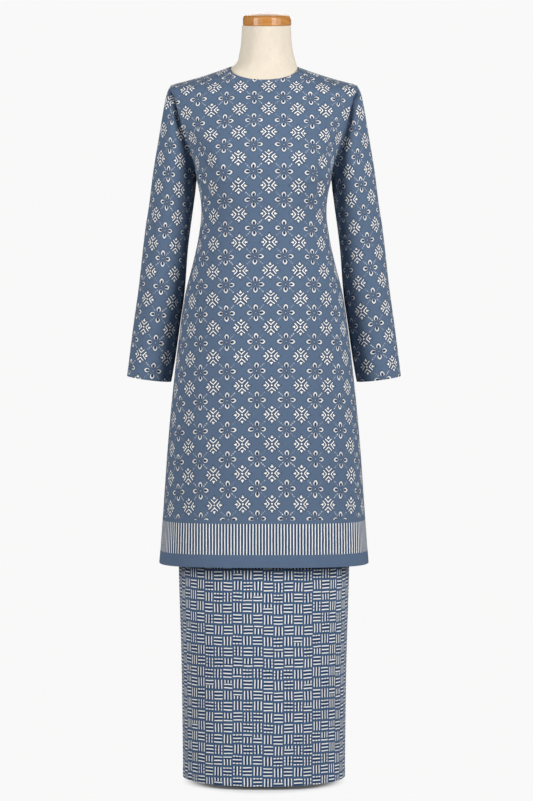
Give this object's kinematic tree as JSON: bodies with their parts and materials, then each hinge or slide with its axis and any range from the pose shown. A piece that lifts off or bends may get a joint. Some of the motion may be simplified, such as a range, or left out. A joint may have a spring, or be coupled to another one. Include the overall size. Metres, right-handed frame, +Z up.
{
  "type": "baju kurung on a dress form",
  "caption": "Long-sleeved A-line tunic over an ankle-length tube skirt, shown on a limbless linen dress form with a wooden neck cap and a round base.",
  "frame": {"origin": "on the floor at the centre of the stand's base plate, under the pole", "axes": "+Z up, -Y towards the front of the garment, +X towards the wearer's left"},
  "size_m": [0.5306, 0.3121, 1.4922],
  "materials": {
    "tunic_cloth": "slate-blue cotton with an ivory print of diamond stars and four-petal flowers",
    "skirt_cloth": "slate-blue cotton with an ivory basket-weave print",
    "zip_tape": "woven blue tape",
    "zip_metal": "blue lacquered zinc",
    "form_linen": "natural linen stretched over a padded body",
    "form_wood": "varnished honey-coloured wood",
    "stand_steel": "satin light-grey powder coat"
  },
  "bodies": {
    "outfit": {"tunic_front": "tunic_cloth", "tunic_back_left": "tunic_cloth", "tunic_back_right": "tunic_cloth", "sleeve_left": "tunic_cloth", "sleeve_right": "tunic_cloth", "skirt_front": "skirt_cloth", "skirt_back": "skirt_cloth", "skirt_waistband": "skirt_cloth", "zip_tape": "zip_tape", "zip_slider": "zip_metal", "form_torso": "form_linen", "form_neck_cap": "form_wood", "stand_pole": "stand_steel", "stand_base": "stand_steel"},
    "zip_pull": {"zip_pull": "zip_metal"}
  },
  "joints": [
    {"name": "zip_pull_hinge", "type": "hinge", "parent": "outfit", "child": "zip_pull", "pos_m": [0, 0.08348, 1.37245], "axis": [1, 0, 0], "range_deg": [0, 150]}
  ]
}
